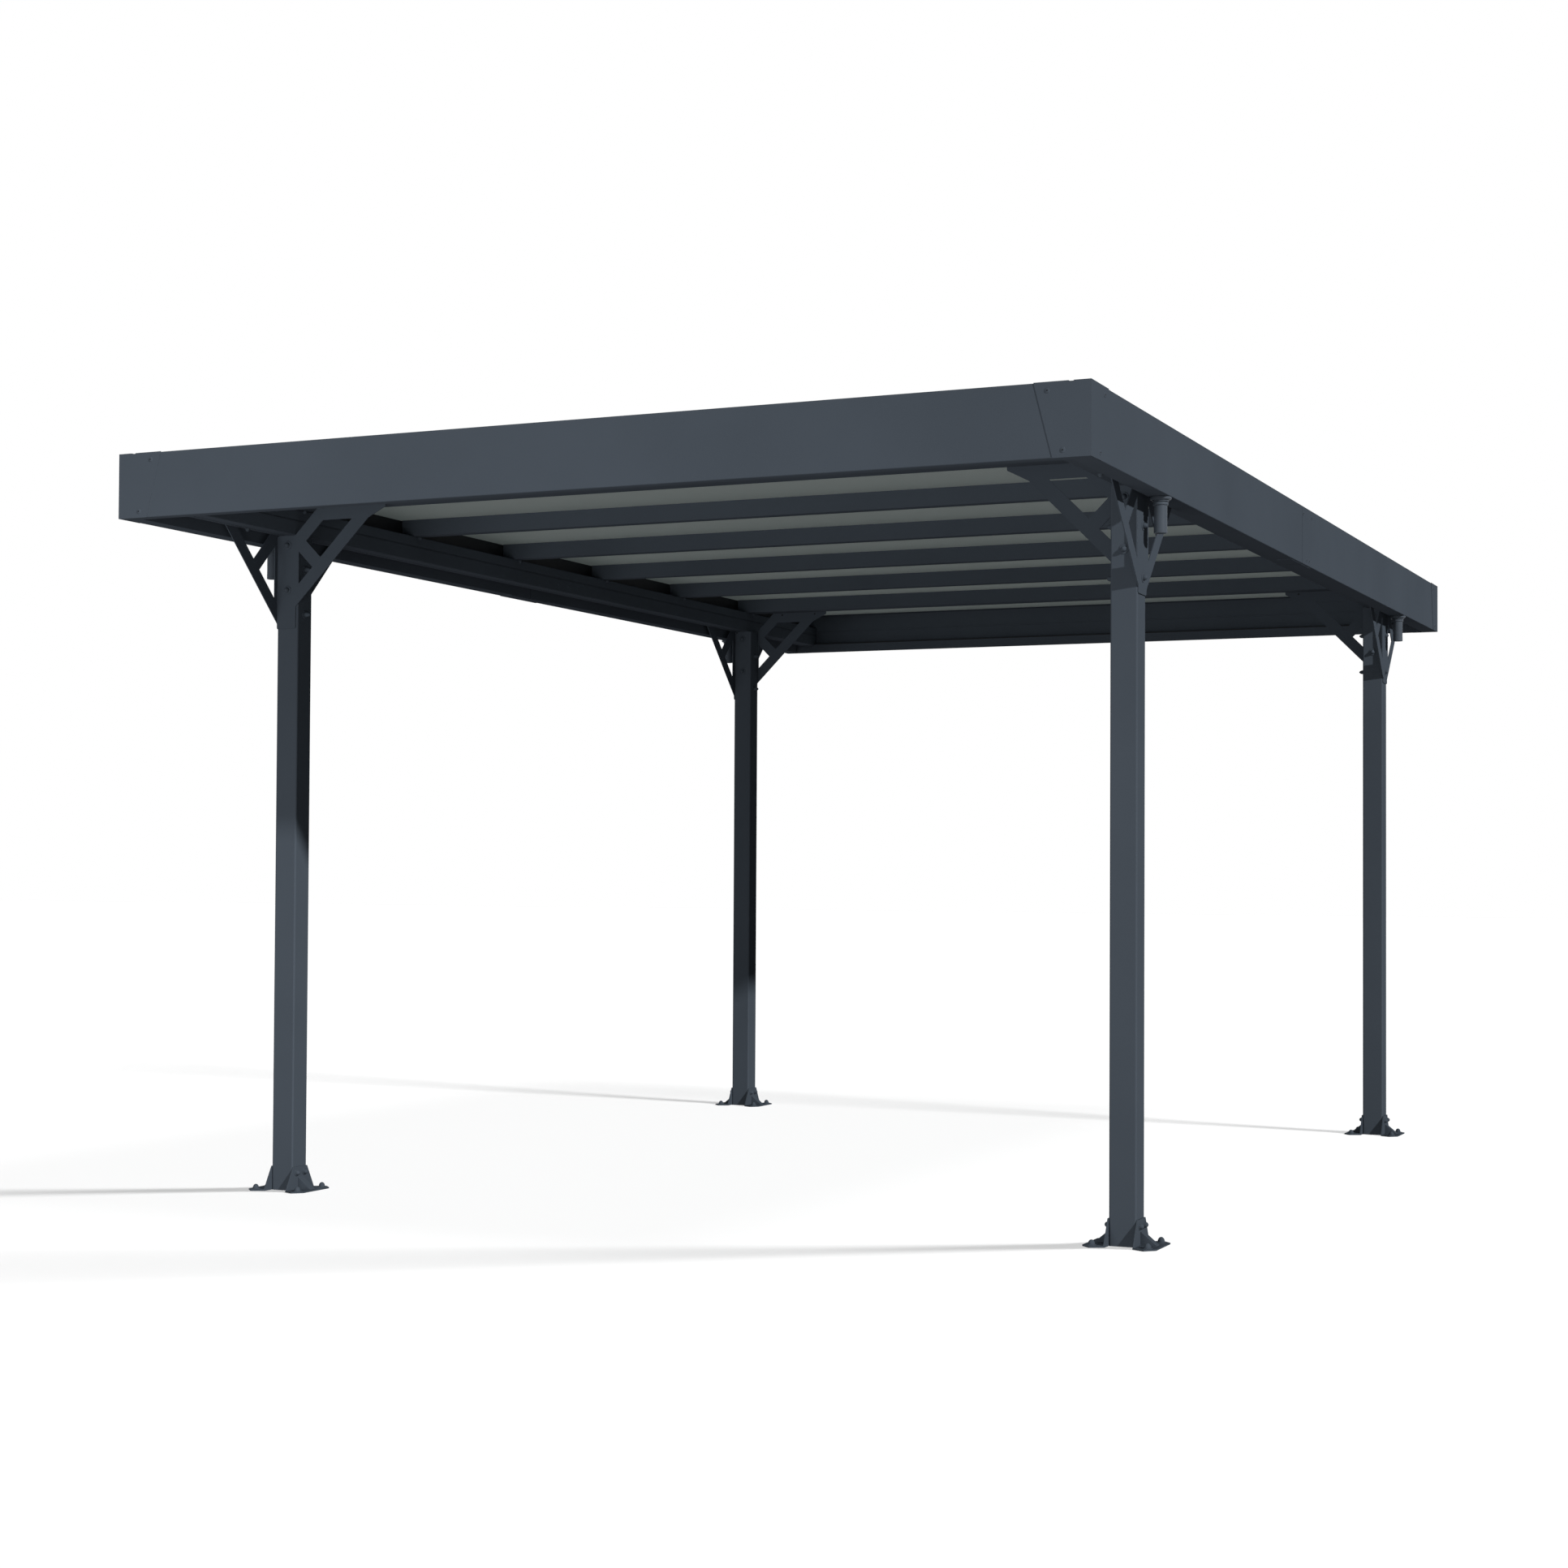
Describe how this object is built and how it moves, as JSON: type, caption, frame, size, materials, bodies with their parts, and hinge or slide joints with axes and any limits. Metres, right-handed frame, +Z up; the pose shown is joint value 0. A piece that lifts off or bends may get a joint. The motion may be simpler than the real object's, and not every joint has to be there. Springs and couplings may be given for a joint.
{
  "type": "flat-roof carport",
  "caption": "Free-standing flat-roof carport: square posts with plate braces and bolted feet carry side beams, purlins, roof sheets and a deep fascia with gutters.",
  "frame": {"origin": "on the ground under the centre of the roof", "axes": "+X across the front to the right, +Y from the front to the rear, +Z up"},
  "size_m": [2.87, 4.78, 2.158],
  "materials": {
    "coated_frame": "anthracite powder coat, fine texture",
    "bracket_plate": "anthracite powder coat, fine texture",
    "roof_sheet": "smoky translucent sheet",
    "spout_plastic": "matt grey plastic"
  },
  "bodies": {
    "root": {"corner_cover_front_left": "coated_frame", "corner_cover_front_right": "coated_frame", "corner_cover_rear_left": "coated_frame", "corner_cover_rear_right": "coated_frame", "cross_beam_front": "coated_frame", "cross_beam_rear": "coated_frame", "cross_brace_front_left": "bracket_plate", "cross_brace_front_right": "bracket_plate", "cross_brace_rear_left": "bracket_plate", "cross_brace_rear_right": "bracket_plate", "drain_spout_front_left": "spout_plastic", "drain_spout_front_right": "spout_plastic", "drain_spout_rear_left": "spout_plastic", "drain_spout_rear_right": "spout_plastic", "fascia_front": "coated_frame", "fascia_rear": "coated_frame", "foot_front_left": "bracket_plate", "foot_front_right": "bracket_plate", "foot_rear_left": "bracket_plate", "foot_rear_right": "bracket_plate", "gutter_fascia_left_front": "coated_frame", "gutter_fascia_left_rear": "coated_frame", "gutter_fascia_right_front": "coated_frame", "gutter_fascia_right_rear": "coated_frame", "post_front_left": "coated_frame", "post_front_right": "coated_frame", "post_rear_left": "coated_frame", "post_rear_right": "coated_frame", "purlin_1": "coated_frame", "purlin_2": "coated_frame", "purlin_3": "coated_frame", "purlin_4": "coated_frame", "roof_panel_1": "roof_sheet", "roof_panel_2": "roof_sheet", "roof_panel_3": "roof_sheet", "roof_panel_4": "roof_sheet", "roof_panel_5": "roof_sheet", "roof_panel_6": "roof_sheet", "roof_panel_7": "roof_sheet", "side_beam_left": "coated_frame", "side_beam_right": "coated_frame", "side_brace_front_left": "bracket_plate", "side_brace_front_right": "bracket_plate", "side_brace_rear_left": "bracket_plate", "side_brace_rear_right": "bracket_plate"}
  },
  "joints": []
}
